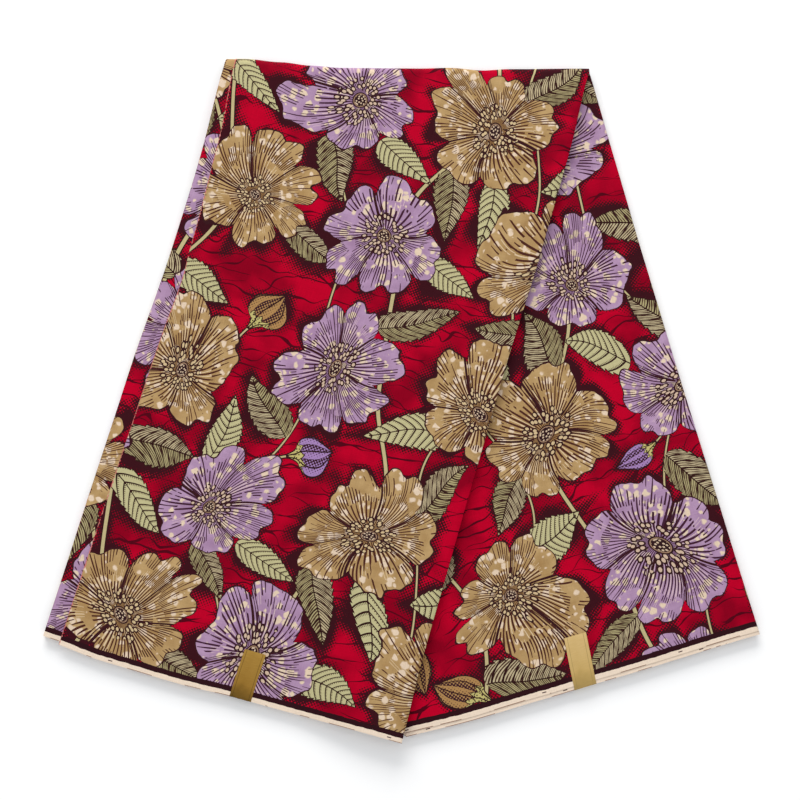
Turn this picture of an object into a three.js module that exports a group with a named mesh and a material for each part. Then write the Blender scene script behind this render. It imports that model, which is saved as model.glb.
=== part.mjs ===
// A length of wax print cotton, folded for sale and laid on a table.
//
// The cloth is folded to and fro into a flat strip of sixteen panels, so that both selvedges lie at the
// strip's ends. The strip is folded once in half over the top and its two legs are splayed, the front leg
// lying on the back leg. Two foil stickers are wrapped over the selvedge edges.
//
// Strip coordinates: u across the strip, to the right, from its centre line; v along it, from the front
// leg's selvedge over the fold to the back leg's; w through its thickness, from the side that is inside
// the fold to the side that is outside.
import * as THREE from "three";

// Driving dimensions, mm
const CLOTH_WIDTH = 1230; // selvedge to selvedge, so the length of the strip
const STRIP_WIDTH = 340;
const STRIP_THICKNESS = 6.6;
const SHEET_WALL = 1.0; // the innermost and outermost panels
const SEAM = 0.3; // air between two pieces
const FOLD_GAP = 0.5; // air between the two legs
const FRONT_LENGTH = 615; // front selvedge to fold, on the centre line
const SPLAY = THREE.MathUtils.degToRad(15.5); // each leg away from straight down
const STEP_CLEAR = 22; // the front leg stays level for this far past the back leg's edge
const STEP_RUN = 75; // and comes down to the table in this run
const CREST_REACH = 120; // the fold's unevenness dies out this far down the legs
const EDGE_BULGE = 0.4; // how far a folded edge rounds out between its faces

// How far the fold stands above a straight line, at places across it.
const CREST = [
  { x: -176, rise: 8.9 },
  { x: -157, rise: 8.7 },
  { x: -123, rise: 5.6 },
  { x: -92, rise: 2.2 },
  { x: -64, rise: 0.1 },
  { x: 13, rise: 0 },
  { x: 42, rise: 0.9 },
  { x: 74, rise: -1.6 },
  { x: 100, rise: 0 },
  { x: 174, rise: 1 },
];

// How far each leg bows to the right of its straight centre line, by the distance below the fold.
const SWAY = [
  { down: 0, front: 0, back: 0 },
  { down: 80, front: 2.6, back: -1 },
  { down: 180, front: 1.9, back: -2 },
  { down: 300, front: -1.4, back: -2.2 },
  { down: 450, front: -2.4, back: -1.4 },
  { down: 560, front: -3, back: -0.4 },
  { down: 640, front: -0.6, back: 1.2 },
];

// How far the top panel's cut edge lies in from the strip's left side.
const CUT_EDGE = [
  { v: 0, inset: 15.8 },
  { v: 310, inset: 17.8 },
  { v: 350, inset: 18.4 },
  { v: 400, inset: 16.1 },
  { v: 490, inset: 12.7 },
  { v: 580, inset: 8.4 },
  { v: 640, inset: 8 },
  { v: 1230, inset: 14 },
];

// The folded pairs of panels between the two outer ones, from the innermost out: how far each stands out
// past the strip at the two selvedge ends and at the two folded sides.
const FOLDED_PAIRS = [
  { front: -4.2, back: 3.2, left: -0.6, right: -0.4 },
  { front: -3.1, back: 2.4, left: 0.5, right: -0.9 },
  { front: -4.6, back: 1.2, left: -0.3, right: 0.1 },
  { front: -2.8, back: -0.5, left: 0.7, right: -0.6 },
  { front: -3.6, back: -2.4, left: 0.1, right: -0.1 },
  { front: -3.9, back: -4.2, left: 0.6, right: -0.8 },
  { front: -3.2, back: -6.6, left: 0.2, right: -0.3 },
];

// How far the two selvedge ends bow out of square, by the place across the strip.
const END_BOW = [
  { u: -170, front: -2, back: 1 },
  { u: -110, front: 2, back: 2.6 },
  { u: -40, front: 2.5, back: 1.4 },
  { u: 20, front: 0.2, back: 0.4 },
  { u: 170, front: -1.6, back: -3 },
];

// Each panel's ends: how far it stands out past the strip's two ends.
const FRONT_PANEL_ENDS = { front: 0, back: -9 };
const BACK_PANEL_ENDS = { front: -2.4, back: 0 };

// Lattice of every cloth piece: cells across, and down each stretch. All share it, so that faces that lie
// on each other have the same facets.
const CELLS_ACROSS = 16;
const EDGE_CELL = 20; // width of the outermost cell on each side
const CELLS_FRONT = 20;
const CELLS_FOLD = 6;
const CELLS_BACK = 6;

// Foil stickers: size on the face, the place of their centre across the strip and its shift to the end.
const LABEL_WALL = 0.5;
const LABEL_FOOT = 0.6; // height of the wrapped end above the table
const LABEL_CELLS = { across: 2, along: 3, turn: 3 };
const LABELS = {
  label_front: { width: 20, length: 44.5, centre: 21.3, shift: -2.3 },
  label_back: { width: 21, length: 47, centre: 5.6, shift: -4.1 },
};

const HALF_WIDTH = STRIP_WIDTH / 2;
const MID_RADIUS = FOLD_GAP / 2 + STRIP_THICKNESS / 2;
const FOLD_ARC = Math.PI * MID_RADIUS; // length of strip in the fold
const AXIS_HEIGHT = FOLD_GAP / 2 + STRIP_THICKNESS; // the axis that the strip folds round
const FRONT_LIFT = STRIP_THICKNESS + FOLD_GAP; // the front leg's height where it lies on the back leg

// Reads one column of a table at a place, easing from row to row.
function reading(table, by, column, at) {
  if (at <= table[0][by]) return table[0][column];
  for (let n = 1; n < table.length; n++) {
    const before = table[n - 1];
    const after = table[n];
    if (at > after[by]) continue;
    const share = THREE.MathUtils.smoothstep(at, before[by], after[by]);
    return THREE.MathUtils.lerp(before[column], after[column], share);
  }
  return table[table.length - 1][column];
}

// Distance past the fold line at a point of the strip, and the place along the strip at such a distance.
const pastFold = (u, v) => (v - FRONT_LENGTH) * Math.cos(SPLAY) - u * Math.sin(SPLAY);
const alongStrip = (u, past) => FRONT_LENGTH + (past + u * Math.sin(SPLAY)) / Math.cos(SPLAY);

// Height of the front leg's underside: on the back leg, down the step beside it, or on the table.
function underFront(x, y) {
  const backEdge = (FOLD_ARC - y) * Math.tan(SPLAY) - HALF_WIDTH / Math.cos(SPLAY);
  const clear = (backEdge - x) * Math.cos(SPLAY) - STEP_CLEAR;
  return FRONT_LIFT * (1 - THREE.MathUtils.smoothstep(clear, 0, STEP_RUN));
}

// A point of the strip where it lies folded.
function place(u, v, w) {
  const past = pastFold(u, v);
  const acrossX = (v - FRONT_LENGTH) * Math.sin(SPLAY) + u * Math.cos(SPLAY);
  const crest = reading(CREST, "x", "rise", acrossX);
  if (past <= 0) {
    const y = past + crest * (1 - THREE.MathUtils.smoothstep(-past, 0, CREST_REACH));
    const x = acrossX + reading(SWAY, "down", "front", -past);
    return new THREE.Vector3(x, y, underFront(acrossX, past) + w);
  }
  if (past < FOLD_ARC) {
    const turn = past / MID_RADIUS;
    const radius = FOLD_GAP / 2 + w;
    return new THREE.Vector3(acrossX, radius * Math.sin(turn) + crest, AXIS_HEIGHT + radius * Math.cos(turn));
  }
  const down = past - FOLD_ARC;
  const y = crest * (1 - THREE.MathUtils.smoothstep(down, 0, CREST_REACH)) - down;
  const x = acrossX + reading(SWAY, "down", "back", down);
  return new THREE.Vector3(x, y, STRIP_THICKNESS - w);
}

// A closed solid from a lattice of cells whose corners point(i, j, k) gives. i, j and k run along
// right-handed axes.
function latticeSolid([cellsI, cellsJ, cellsK], point) {
  const positions = [];
  const faces = [];
  const seen = new Map();
  function corner(i, j, k) {
    const key = (i * (cellsJ + 1) + j) * (cellsK + 1) + k;
    if (!seen.has(key)) {
      seen.set(key, positions.length / 3);
      positions.push(...point(i, j, k).toArray());
    }
    return seen.get(key);
  }
  function quad(a, b, c, d) {
    faces.push(a, b, d, b, c, d);
  }
  for (let i = 0; i < cellsI; i++) {
    for (let j = 0; j < cellsJ; j++) {
      const upper = [[i, j], [i + 1, j], [i + 1, j + 1], [i, j + 1]].map(([a, b]) => corner(a, b, cellsK));
      quad(...upper);
      const lower = [[i, j], [i + 1, j], [i + 1, j + 1], [i, j + 1]].map(([a, b]) => corner(a, b, 0));
      faces.push(lower[0], lower[3], lower[1], lower[1], lower[3], lower[2]);
    }
  }
  for (let k = 0; k < cellsK; k++) {
    for (let j = 0; j < cellsJ; j++) {
      quad(corner(cellsI, j, k), corner(cellsI, j + 1, k), corner(cellsI, j + 1, k + 1), corner(cellsI, j, k + 1));
      quad(corner(0, j, k), corner(0, j, k + 1), corner(0, j + 1, k + 1), corner(0, j + 1, k));
    }
    for (let i = 0; i < cellsI; i++) {
      quad(corner(i, cellsJ, k), corner(i, cellsJ, k + 1), corner(i + 1, cellsJ, k + 1), corner(i + 1, cellsJ, k));
      quad(corner(i, 0, k), corner(i + 1, 0, k), corner(i + 1, 0, k + 1), corner(i, 0, k + 1));
    }
  }
  const geometry = new THREE.BufferGeometry();
  geometry.setAttribute("position", new THREE.Float32BufferAttribute(positions, 3));
  geometry.setIndex(faces);
  geometry.computeVertexNormals();
  return geometry;
}

// Place across the strip of a column of the lattice, with room for the piece's own edges.
function across(column, leftOut, rightOut) {
  if (column === 0) return -HALF_WIDTH - leftOut;
  if (column === CELLS_ACROSS) return HALF_WIDTH + rightOut;
  const inner = (STRIP_WIDTH - 2 * EDGE_CELL) / (CELLS_ACROSS - 2);
  return -HALF_WIDTH + EDGE_CELL + (column - 1) * inner;
}

// Place along the strip of a row of the lattice. Rows in the fold run straight across it.
function along(row, u, frontOut, backOut) {
  const fold = alongStrip(u, 0);
  const foldEnd = alongStrip(u, FOLD_ARC);
  if (row === 0) return -frontOut - reading(END_BOW, "u", "front", u);
  if (row <= CELLS_FRONT) return (fold * row) / CELLS_FRONT;
  if (row <= CELLS_FRONT + CELLS_FOLD) {
    return THREE.MathUtils.lerp(fold, foldEnd, (row - CELLS_FRONT) / CELLS_FOLD);
  }
  const share = (row - CELLS_FRONT - CELLS_FOLD) / CELLS_BACK;
  if (share === 1) return CLOTH_WIDTH + backOut + reading(END_BOW, "u", "back", u);
  return THREE.MathUtils.lerp(foldEnd, CLOTH_WIDTH, share);
}

// A stretch of cloth between two depths of the strip. edges(level, v) says how far it stands out at its
// four edges, at a level from 0, its inner face, to 1.
function clothSolid(inner, wall, levels, edges) {
  const rows = CELLS_FRONT + CELLS_FOLD + CELLS_BACK;
  return latticeSolid([CELLS_ACROSS, rows, levels], (i, j, k) => {
    const ends = edges(k / levels, 0);
    const rough = along(j, across(i, 0, 0), ends.front, ends.back);
    const out = edges(k / levels, rough);
    const u = across(i, out.left, out.right);
    return place(u, along(j, u, out.front, out.back), inner + (wall * k) / levels);
  });
}

// Rounds a sheet's edges out between its two faces.
const roundedEdge = (level) => EDGE_BULGE * (4 * level * (1 - level) - 1);

// The outermost panel: front leg's face, over the fold, back leg's underside.
function frontPanel() {
  return clothSolid(STRIP_THICKNESS - SHEET_WALL, SHEET_WALL, 2, (level, v) => ({
    front: FRONT_PANEL_ENDS.front + roundedEdge(level),
    back: FRONT_PANEL_ENDS.back + roundedEdge(level),
    left: roundedEdge(level) - reading(CUT_EDGE, "v", "inset", v),
    right: roundedEdge(level),
  }));
}

// The innermost panel: front leg's underside, inner fold, back leg's face.
function backPanel() {
  return clothSolid(0, SHEET_WALL, 2, (level) => ({
    front: BACK_PANEL_ENDS.front + roundedEdge(level),
    back: BACK_PANEL_ENDS.back + roundedEdge(level),
    left: roundedEdge(level),
    right: roundedEdge(level),
  }));
}

// The fourteen panels between, as one solid whose edges show seven folded pairs.
function foldedLayers() {
  const inner = SHEET_WALL + SEAM;
  const wall = STRIP_THICKNESS - 2 * inner;
  return clothSolid(inner, wall, 2 * FOLDED_PAIRS.length, (level) => {
    const depth = level * FOLDED_PAIRS.length;
    const pair = FOLDED_PAIRS[Math.min(Math.floor(depth), FOLDED_PAIRS.length - 1)];
    const bulge = roundedEdge(depth % 1);
    return {
      front: pair.front + bulge,
      back: pair.back + bulge,
      left: pair.left + bulge,
      right: pair.right + bulge,
    };
  });
}

// A foil sticker on a leg's face, wrapped over its end and down to just above the table. endAt(u) says how
// far the end stands out, and onFace(u, inset, rise) gives a point by the distance in from the strip's end.
function labelSolid({ width, length, centre, shift }, endAt, onFace) {
  const { across: cellsAcross, along: cellsAlong, turn: cellsTurn } = LABEL_CELLS;
  const rows = cellsAlong + cellsTurn + 1;
  return latticeSolid([cellsAcross, rows, 1], (i, j, k) => {
    const side = (0.5 - i / cellsAcross) * width;
    const rise = SEAM + LABEL_WALL * k;
    const run = Math.min(j / cellsAlong, 1);
    const u = centre + shift * run + side;
    const end = endAt(u);
    if (j <= cellsAlong) return onFace(u, length * (1 - run) - end, rise);
    const turn = Math.min((j - cellsAlong) / cellsTurn, 1) * (Math.PI / 2);
    const edge = onFace(u, -end - rise * Math.sin(turn), rise * Math.cos(turn));
    if (j === rows) edge.z = LABEL_FOOT;
    return edge;
  });
}

function frontLabel() {
  const endAt = (u) => reading(END_BOW, "u", "front", u);
  return labelSolid(LABELS.label_front, endAt, (u, inset, rise) => place(u, inset, STRIP_THICKNESS + rise));
}

function backLabel() {
  const furthest = Math.max(...FOLDED_PAIRS.map((pair) => pair.back));
  const endAt = (u) => furthest + reading(END_BOW, "u", "back", u);
  return labelSolid(LABELS.label_back, endAt, (u, inset, rise) => place(u, CLOTH_WIDTH - inset, -rise));
}

const COTTON = new THREE.MeshStandardMaterial({ color: 0xb40023, roughness: 0.85, metalness: 0 });
const COTTON_EDGES = new THREE.MeshStandardMaterial({ color: 0xe6d3b8, roughness: 0.9, metalness: 0 });
const GOLD_FOIL = new THREE.MeshStandardMaterial({ color: 0xb08a3c, roughness: 0.35, metalness: 0.9 });

const pieces = [
  ["front_panel", frontPanel(), COTTON],
  ["folded_layers", foldedLayers(), COTTON_EDGES],
  ["back_panel", backPanel(), COTTON],
  ["label_front", frontLabel(), GOLD_FOIL],
  ["label_back", backLabel(), GOLD_FOIL],
];

const fabric = new THREE.Group();
for (const [name, geometry, material] of pieces) {
  const mesh = new THREE.Mesh(geometry, material);
  mesh.name = name;
  fabric.add(mesh);
}

// The origin is the middle of the footprint, on the table.
const footprint = new THREE.Box3().setFromObject(fabric);
const middle = footprint.getCenter(new THREE.Vector3());
fabric.position.set(-middle.x, -middle.y, -footprint.min.z);

export default fabric;
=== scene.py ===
from math import cos, pi, radians, sin, tan

import bmesh
import bpy
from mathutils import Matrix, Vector


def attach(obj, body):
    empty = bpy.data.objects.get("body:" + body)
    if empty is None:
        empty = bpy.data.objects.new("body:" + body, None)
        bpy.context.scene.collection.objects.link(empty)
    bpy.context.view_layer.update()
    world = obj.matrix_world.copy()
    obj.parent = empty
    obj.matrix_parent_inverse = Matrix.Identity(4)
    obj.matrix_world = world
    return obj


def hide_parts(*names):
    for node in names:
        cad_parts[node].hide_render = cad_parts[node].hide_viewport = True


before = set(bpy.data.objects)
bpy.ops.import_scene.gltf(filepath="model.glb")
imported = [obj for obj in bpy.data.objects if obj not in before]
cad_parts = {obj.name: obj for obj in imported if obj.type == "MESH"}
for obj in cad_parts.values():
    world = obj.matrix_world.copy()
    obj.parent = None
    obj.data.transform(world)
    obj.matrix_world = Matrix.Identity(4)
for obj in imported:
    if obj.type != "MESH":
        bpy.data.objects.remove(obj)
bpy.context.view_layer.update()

# ---------------------------------------------------------------------------------------------------
# The cloth. One length of wax print cotton, 5.43 m long and 1.23 m from selvedge to selvedge, folded to
# and fro into a strip of sixteen panels. The strip is folded in half over the top and splayed, with the
# front leg lying on the back leg. Nothing is sewn: both ends are cut, and the selvedges are woven.
# ---------------------------------------------------------------------------------------------------
MM = 0.001
CLOTH_WIDTH = 1230.0
PANELS = 16
PANEL_WIDTH = 340.0
STRIP_THICKNESS = 6.6
COTTON_THICKNESS = 0.28
FOLD_GAP = 0.5
FRONT_LENGTH = 615.0
SPLAY = radians(15.5)
STEP_CLEAR = 22.0
STEP_RUN = 75.0
CREST_REACH = 120.0
FOOTPRINT_SHIFT = Vector((1.6007, 310.4422, 0.0))

# How far the fold stands above a straight line, at places across it.
CREST = [
    {"x": -176, "rise": 8.9},
    {"x": -157, "rise": 8.7},
    {"x": -123, "rise": 5.6},
    {"x": -92, "rise": 2.2},
    {"x": -64, "rise": 0.1},
    {"x": 13, "rise": 0.0},
    {"x": 42, "rise": 0.9},
    {"x": 74, "rise": -1.6},
    {"x": 100, "rise": 0.0},
    {"x": 174, "rise": 1.0},
]

# How far each leg bows to the right of a straight centre line, by the distance below the fold.
SWAY = [
    {"down": 0, "front": 0.0, "back": 0.0},
    {"down": 80, "front": 2.6, "back": -1.0},
    {"down": 180, "front": 1.9, "back": -2.0},
    {"down": 300, "front": -1.4, "back": -2.2},
    {"down": 450, "front": -2.4, "back": -1.4},
    {"down": 560, "front": -3.0, "back": -0.4},
    {"down": 640, "front": -0.6, "back": 1.2},
]

# How far the top panel's cut edge lies in from the strip's left side.
CUT_EDGE = [
    {"v": 0, "inset": 15.8},
    {"v": 310, "inset": 17.8},
    {"v": 350, "inset": 18.4},
    {"v": 400, "inset": 16.1},
    {"v": 490, "inset": 12.7},
    {"v": 580, "inset": 8.4},
    {"v": 640, "inset": 8.0},
    {"v": 1230, "inset": 14.0},
]

# How far the selvedge ends bow out of square, by the place across the strip.
END_BOW = [
    {"u": -170, "front": -2.0, "back": 1.0},
    {"u": -110, "front": 2.0, "back": 2.6},
    {"u": -40, "front": 2.5, "back": 1.4},
    {"u": 20, "front": 0.2, "back": 0.4},
    {"u": 170, "front": -1.6, "back": -3.0},
]

# The panels, from the innermost out. front and back say how far each stands out past the strip's two
# ends, and fold how far the folded side that joins it to the next panel out stands past the strip's
# side: the right side for even panels, the left for odd ones. The last panel's side is the cut edge.
PANEL_EDGES = [
    {"front": -2.4, "back": 0.0, "fold": -0.4},
    {"front": -4.2, "back": 3.4, "fold": -0.6},
    {"front": -4.9, "back": 2.9, "fold": -0.8},
    {"front": -3.1, "back": 2.4, "fold": 0.4},
    {"front": -3.6, "back": 1.9, "fold": 0.0},
    {"front": -4.6, "back": 1.2, "fold": -0.4},
    {"front": -4.0, "back": 0.7, "fold": -0.5},
    {"front": -2.8, "back": -0.5, "fold": 0.6},
    {"front": -3.4, "back": -1.1, "fold": -0.2},
    {"front": -3.6, "back": -2.4, "fold": 0.1},
    {"front": -4.3, "back": -3.0, "fold": -0.7},
    {"front": -3.9, "back": -4.2, "fold": 0.5},
    {"front": -3.4, "back": -5.0, "fold": -0.3},
    {"front": -3.2, "back": -6.6, "fold": 0.2},
    {"front": -2.9, "back": -7.4, "fold": 0.0},
    {"front": 0.0, "back": -9.0, "fold": 0.0},
]

# Soft ridges that the panels in sight keep from being handled: the middle's place on the strip, half the
# length, half the width, how far it is turned from lying across, and the rise.
CREASES = [
    {"u": -60, "v": 120, "length": 130, "width": 15, "turn": 72, "rise": 0.9},
    {"u": 48, "v": 92, "length": 90, "width": 12, "turn": 84, "rise": 0.6},
    {"u": 112, "v": 210, "length": 120, "width": 14, "turn": 97, "rise": 1.0},
    {"u": -20, "v": 306, "length": 150, "width": 15, "turn": 4, "rise": 0.5},
    {"u": -96, "v": 412, "length": 100, "width": 17, "turn": 58, "rise": 0.8},
    {"u": 70, "v": 438, "length": 120, "width": 16, "turn": 112, "rise": 0.8},
    {"u": 14, "v": 540, "length": 110, "width": 15, "turn": 24, "rise": 0.5},
    {"u": -118, "v": 556, "length": 60, "width": 11, "turn": 78, "rise": 0.7},
    {"u": 128, "v": 560, "length": 55, "width": 12, "turn": 66, "rise": 0.6},
    {"u": 92, "v": 700, "length": 80, "width": 12, "turn": 70, "rise": 0.7},
    {"u": 40, "v": 792, "length": 110, "width": 16, "turn": 118, "rise": 0.8},
    {"u": 132, "v": 868, "length": 100, "width": 12, "turn": 92, "rise": 0.7},
    {"u": 30, "v": 922, "length": 150, "width": 15, "turn": -3, "rise": 0.5},
    {"u": 84, "v": 1040, "length": 110, "width": 14, "turn": 64, "rise": 0.9},
    {"u": -16, "v": 1112, "length": 90, "width": 14, "turn": 101, "rise": 0.6},
    {"u": 118, "v": 1160, "length": 55, "width": 12, "turn": 82, "rise": 0.7},
]

# Across a crease the rise falls off as a bell does, and stops at the tail, in half widths. Towards the
# folded side creases die away between two distances from it. LOFT lifts a panel in sight all over, and
# FAR_FROM_CUT marks the panels that don't end in the cut edge.
BELL_BASE = 2.718
CREASE_TAIL = 2.6
CREASE_FREE_SIDE = 2.0
CREASE_FULL_SIDE = 26.0
LOFT = 0.07
FAR_FROM_CUT = 500.0

CELLS_SEEN_PANEL = 64
CELLS_HIDDEN_PANEL = 26
CELLS_SIDE_FOLD = 3
CELLS_FRONT = 44
CELLS_OVER_FOLD = 8
CELLS_BACK = 33

SEEN_PANELS = (0, PANELS - 1)
PITCH = STRIP_THICKNESS / PANELS
HALF_WIDTH = PANEL_WIDTH / 2
FOLD_ARC = pi * (FOLD_GAP / 2 + STRIP_THICKNESS / 2)
AXIS_HEIGHT = FOLD_GAP / 2 + STRIP_THICKNESS


def ease(at, start, end):
    share = min(max((at - start) / (end - start), 0.0), 1.0)
    return share * share * (3 - 2 * share)


def reading(table, by, column, at):
    """What a table's column says at a place, eased from row to row."""
    if at <= table[0][by]:
        return table[0][column]
    for before, after in zip(table, table[1:]):
        if at <= after[by]:
            share = ease(at, before[by], after[by])
            return before[column] + (after[column] - before[column]) * share
    return table[-1][column]


def under_front_leg(x, y):
    """How high the front leg lies: on the back leg, or stepped down to the table on its left."""
    back_edge = (FOLD_ARC - y) * tan(SPLAY) - HALF_WIDTH / cos(SPLAY)
    clear = (back_edge - x) * cos(SPLAY) - STEP_CLEAR
    return (STRIP_THICKNESS + FOLD_GAP) * (1 - ease(clear, 0, STEP_RUN))


def crease_height(u, v):
    """How far a panel in sight is lifted off the next one. Nothing lifts at the folded side."""
    height = 0.0
    for crease in CREASES:
        right, up = u - crease["u"], v - crease["v"]
        if abs(right) + abs(up) > 2 * crease["length"]:
            continue
        turn = radians(crease["turn"])
        along = (right * cos(turn) + up * sin(turn)) / crease["length"]
        aside = (up * cos(turn) - right * sin(turn)) / crease["width"]
        if abs(along) < 1 and abs(aside) < CREASE_TAIL:
            height += crease["rise"] * (1 - along * along) ** 2 * BELL_BASE ** (-aside * aside)
    return height * ease(HALF_WIDTH - u, CREASE_FREE_SIDE, CREASE_FULL_SIDE)


def folded_place(u, v, w, lift=0.0):
    """A point of the strip as it lies: u across, v from the front selvedge over the fold, w outwards."""
    past = (v - FRONT_LENGTH) * cos(SPLAY) - u * sin(SPLAY)
    x = (v - FRONT_LENGTH) * sin(SPLAY) + u * cos(SPLAY)
    crest = reading(CREST, "x", "rise", x)
    if past <= 0:
        y = past + crest * (1 - ease(-past, 0, CREST_REACH))
        z = under_front_leg(x, past) + w + lift
        point = Vector((x + reading(SWAY, "down", "front", -past), y, z))
    elif past < FOLD_ARC:
        turn = past / FOLD_ARC * pi
        radius = FOLD_GAP / 2 + w
        point = Vector((x, radius * sin(turn) + crest, AXIS_HEIGHT + radius * cos(turn)))
    else:
        down = past - FOLD_ARC
        y = crest * (1 - ease(down, 0, CREST_REACH)) - down
        z = STRIP_THICKNESS - w + lift
        point = Vector((x + reading(SWAY, "down", "back", down), y, z))
    return (point + FOOTPRINT_SHIFT) * MM


def panel_column_places():
    """Each column of the cloth: its panel, its place across the strip, its depth and cloth length."""
    columns = []
    run = 0.0
    for panel in reversed(range(PANELS)):
        heading = 1 if panel % 2 else -1
        seen = panel in SEEN_PANELS
        cells = CELLS_SEEN_PANEL if seen else CELLS_HIDDEN_PANEL
        start_out = 0.0 if panel == PANELS - 1 else PANEL_EDGES[panel]["fold"]
        end_out = 0.0 if panel == 0 else PANEL_EDGES[panel - 1]["fold"]
        start = -heading * (HALF_WIDTH + start_out - PITCH / 2)
        end = heading * (HALF_WIDTH + end_out - PITCH / 2)
        depth = (panel + 0.5) * PITCH
        for cell in range(cells + 1):
            share = cell / cells
            columns.append(
                {
                    "panel": panel,
                    "u": start + (end - start) * share,
                    "w": depth,
                    "run": run + abs(end - start) * share,
                    "cut": 1 - share if panel == PANELS - 1 else 0.0,
                    "seen": seen,
                }
            )
        run += abs(end - start)
        if panel == 0:
            break
        for step in range(1, CELLS_SIDE_FOLD):
            turn = pi * step / CELLS_SIDE_FOLD
            columns.append(
                {
                    "panel": panel,
                    "u": end + heading * sin(turn) * PITCH / 2,
                    "w": depth - (1 - cos(turn)) * PITCH / 2,
                    "run": run + step / CELLS_SIDE_FOLD * pi * PITCH / 2,
                    "cut": 0.0,
                    "seen": False,
                }
            )
        run += pi * PITCH / 2
    return columns


def row_place(row, u, front_out, back_out):
    """Where a row of the cloth crosses a column, along the strip. Rows in the fold run along it."""
    fold = FRONT_LENGTH + u * tan(SPLAY)
    fold_end = fold + FOLD_ARC / cos(SPLAY)
    start = -front_out - reading(END_BOW, "u", "front", u)
    end = CLOTH_WIDTH + back_out + reading(END_BOW, "u", "back", u)
    if row <= CELLS_FRONT:
        return start + (fold - start) * row / CELLS_FRONT
    if row <= CELLS_FRONT + CELLS_OVER_FOLD:
        return fold + (fold_end - fold) * (row - CELLS_FRONT) / CELLS_OVER_FOLD
    return fold_end + (end - fold_end) * (row - CELLS_FRONT - CELLS_OVER_FOLD) / CELLS_BACK


columns = panel_column_places()
rows = CELLS_FRONT + CELLS_OVER_FOLD + CELLS_BACK
weave = bmesh.new()
bmesh.ops.create_grid(weave, x_segments=len(columns) - 1, y_segments=rows, size=1.0)
run_and_width = weave.loops.layers.uv.new("run_and_width")
from_cut = weave.verts.layers.float.new("from_cut")
places_when_flat = {}
for vert in weave.verts:
    column = columns[round((vert.co.x + 1) / 2 * (len(columns) - 1))]
    row = round((vert.co.y + 1) / 2 * rows)
    edges = PANEL_EDGES[column["panel"]]
    rough = row_place(row, column["u"], edges["front"], edges["back"])
    inset = reading(CUT_EDGE, "v", "inset", rough) * column["cut"]
    u = column["u"] + inset
    start = row_place(0, u, edges["front"], edges["back"])
    end = row_place(rows, u, edges["front"], edges["back"])
    v = row_place(row, u, edges["front"], edges["back"])
    on_top = column["seen"] and (row < CELLS_FRONT) == (column["panel"] > 0)
    lift = crease_height(u, v) + LOFT if on_top else 0.0
    vert.co = folded_place(u, v, column["w"], lift)
    vert[from_cut] = column["run"] if column["panel"] == PANELS - 1 else FAR_FROM_CUT
    places_when_flat[vert] = (
        (column["run"] + inset) * MM,
        (v - start) / (end - start) * CLOTH_WIDTH * MM,
    )
for face in weave.faces:
    face.smooth = True
    for loop in face.loops:
        loop[run_and_width].uv = places_when_flat[loop.vert]
for edge in weave.edges:
    edge.smooth = not edge.is_boundary
bmesh.ops.recalc_face_normals(weave, faces=weave.faces)
cloth_mesh = bpy.data.meshes.new("cloth")
weave.to_mesh(cloth_mesh)
weave.free()
cloth = bpy.data.objects.new("cloth", cloth_mesh)
bpy.context.collection.objects.link(cloth)
body = cloth.modifiers.new("cotton thickness", "SOLIDIFY")
body.thickness = COTTON_THICKNESS * MM
body.offset = 0.0
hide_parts("front_panel", "folded_layers", "back_panel")
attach(cloth, "root")

# ---------------------------------------------------------------------------------------------------
# The print. Open flowers, toothed leaves and closed buds on winding stems, drawn in engraver's lines
# and dyed in tan, lilac and olive on a red ground, with a dark halftone shade round every motif. It
# repeats every 452.5 mm along the cloth and 410 mm across, three times from selvedge to selvedge.
# ---------------------------------------------------------------------------------------------------
REPEAT_ALONG = 452.5
REPEAT_ACROSS = 410.0
SHADE_SHIFT = (-3.6, -2.6)

# x and y are a flower's centre in the repeat, in mm, and a flower with lilac 0 is tan. A flower lies
# over those before it.
FLOWERS = [
    {"x": 62, "y": 52, "radius": 63, "squash": 0.93, "turn": 24, "petals": 6, "lilac": 0},
    {"x": 190, "y": 42, "radius": 59, "squash": 0.95, "turn": 80, "petals": 5, "lilac": 1},
    {"x": 352, "y": 60, "radius": 67, "squash": 0.94, "turn": 150, "petals": 5, "lilac": 0},
    {"x": 118, "y": 168, "radius": 60, "squash": 0.92, "turn": 200, "petals": 5, "lilac": 1},
    {"x": 262, "y": 176, "radius": 66, "squash": 0.95, "turn": 310, "petals": 6, "lilac": 0},
    {"x": 412, "y": 196, "radius": 60, "squash": 0.92, "turn": 12, "petals": 6, "lilac": 1},
    {"x": 40, "y": 290, "radius": 61, "squash": 0.94, "turn": 95, "petals": 5, "lilac": 0},
    {"x": 188, "y": 318, "radius": 67, "squash": 0.93, "turn": 260, "petals": 6, "lilac": 1},
    {"x": 330, "y": 322, "radius": 64, "squash": 0.95, "turn": 40, "petals": 6, "lilac": 0},
]

# A petal's edge, as a share of the flower's radius, from the middle of the petal to its neighbour.
PETAL_EDGE = [
    {"aside": 0.0, "out": 0.93},
    {"aside": 0.12, "out": 0.955},
    {"aside": 0.26, "out": 1.0},
    {"aside": 0.52, "out": 0.985},
    {"aside": 0.78, "out": 0.90},
    {"aside": 0.94, "out": 0.78},
    {"aside": 1.0, "out": 0.72},
]

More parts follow.
